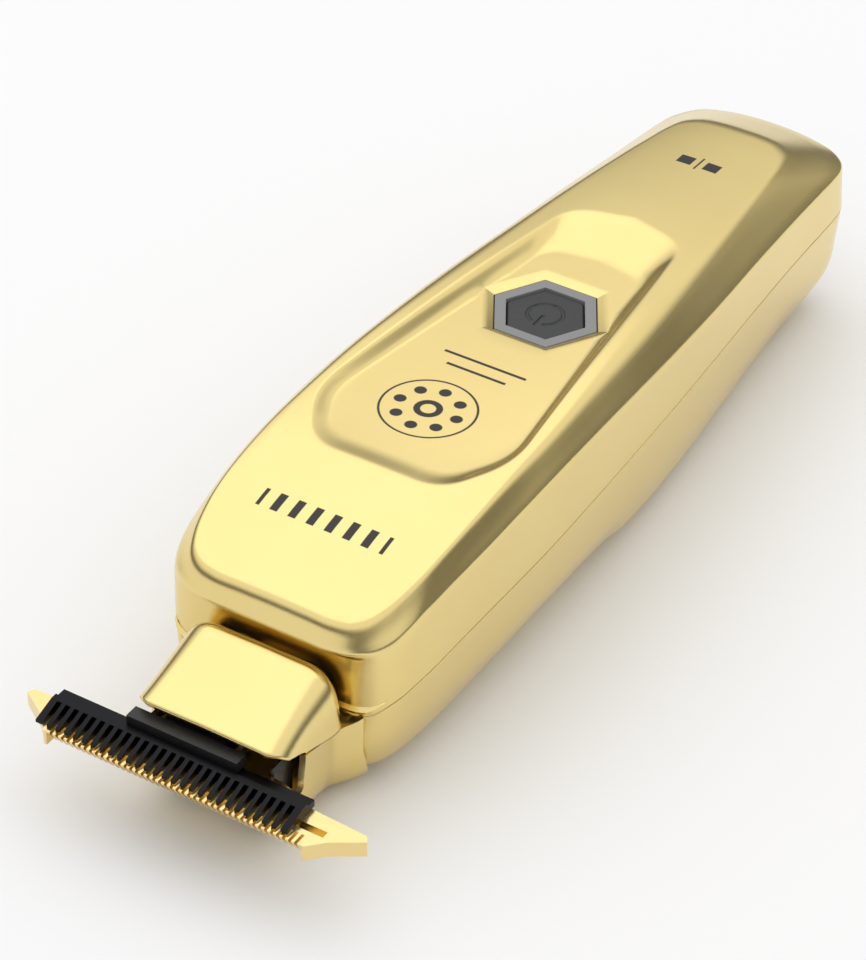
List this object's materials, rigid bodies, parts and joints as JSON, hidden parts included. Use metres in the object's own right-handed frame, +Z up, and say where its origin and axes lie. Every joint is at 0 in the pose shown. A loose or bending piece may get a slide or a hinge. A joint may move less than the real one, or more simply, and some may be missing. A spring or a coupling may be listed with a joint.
{
  "type": "hair clipper",
  "caption": "Cordless T-blade hair trimmer: two-part gold metal casing, wide comb blade, hexagonal power key, motor, eccentric drive, battery and board.",
  "frame": {"origin": "under the middle of the trimmer's overall box, on the surface it lies on", "axes": "+Y along the body towards the rear end with the charging inlet, +Z up through the power key, +X to the trimmer's right; the blade end faces -Y"},
  "size_m": [0.0504, 0.1572, 0.0331],
  "materials": {
    "gold_casing": "satin metallic gold coating",
    "gold_blade": "fine-ground, gold coated",
    "black_blade": "hard black coating, ground tooth flanks",
    "black_plastic": "fine moulded texture",
    "button_black": "soft satin",
    "ring_grey": "smooth",
    "white_nylon": "smooth",
    "spring_steel": "bright drawn wire",
    "steel": "turned",
    "screw_steel": "zinc plated",
    "brass": "turned",
    "magnet_nickel": "nickel plated",
    "lamination": "varnished laminations",
    "copper_coil": "enamelled winding",
    "motor_zinc": "plated sheet",
    "board_green": "solder mask",
    "component_black": "moulded",
    "capacitor_silver": "drawn can",
    "led_white": "clear lens",
    "cell_wrap": "shrink film",
    "nickel_tab": "thin strip",
    "grey_foam": "closed-cell foam",
    "sleeve_rubber": "matt",
    "lead_red": "smooth insulation",
    "inlet_steel": "plated shell",
    "contact_gold": "gold flashed"
  },
  "bodies": {
    "housing": {"upper_casing": "gold_casing", "lower_casing": "gold_casing", "nose_frame": "black_plastic", "fixed_blade": "gold_blade", "blade_screws": "screw_steel", "casing_screws": "screw_steel", "motor_can": "motor_zinc", "motor_front_cap": "motor_zinc", "motor_rear_cap": "motor_zinc", "front_bushing": "brass", "rear_bushing": "brass", "stator_core": "lamination", "stator_windings": "copper_coil", "motor_board": "board_green", "motor_mount": "motor_zinc", "motor_screws": "screw_steel", "motor_sleeve": "sleeve_rubber", "motor_leads": "lead_red", "battery_cell": "cell_wrap", "battery_tabs": "nickel_tab", "battery_cradle": "black_plastic", "battery_pads": "grey_foam", "battery_leads": "lead_red", "circuit_board": "board_green", "board_screws": "screw_steel", "board_chips": "component_black", "board_coil": "component_black", "board_capacitors": "capacitor_silver", "switch_body": "component_black", "button_ring": "ring_grey", "status_leds": "led_white", "inlet_board": "board_green", "inlet_leads": "lead_red", "charge_socket": "inlet_steel", "inlet_tongue": "component_black", "inlet_contacts": "contact_gold"},
    "rotor": {"crank_pin": "steel", "eccentric_cam": "brass", "motor_shaft": "steel", "rotor_magnet": "magnet_nickel", "thrust_washers": "steel"},
    "cutter": {"moving_blade": "black_blade", "blade_carrier": "black_plastic", "carrier_pegs": "steel", "drive_fork": "white_nylon", "blade_spring": "spring_steel"},
    "key": {"power_button": "button_black"},
    "plunger": {"switch_plunger": "white_nylon"}
  },
  "joints": [
    {"name": "rotor_spin", "type": "hinge", "parent": "housing", "child": "rotor", "pos_m": [0, -0.05895, 0.013], "axis": [0, 1, 0], "range_deg": [0, 180]},
    {"name": "cutter_slide", "type": "slide", "parent": "housing", "child": "cutter", "axis": [1, 0, 0], "range_m": [0, 0.0044]},
    {"name": "key_press", "type": "slide", "parent": "housing", "child": "key", "axis": [0, 0, -1], "range_m": [0, 0.0005], "stiffness_N_per_m": 2500, "springref_m": -0.0004},
    {"name": "plunger_press", "type": "slide", "parent": "housing", "child": "plunger", "axis": [0, 0, -1], "range_m": [0, 0.0005]}
  ],
  "couplings": [
    {"joint": "cutter_slide", "follows": "rotor_spin", "m_per_rad": 0.0014006},
    {"joint": "plunger_press", "follows": "key_press", "ratio": 1}
  ]
}
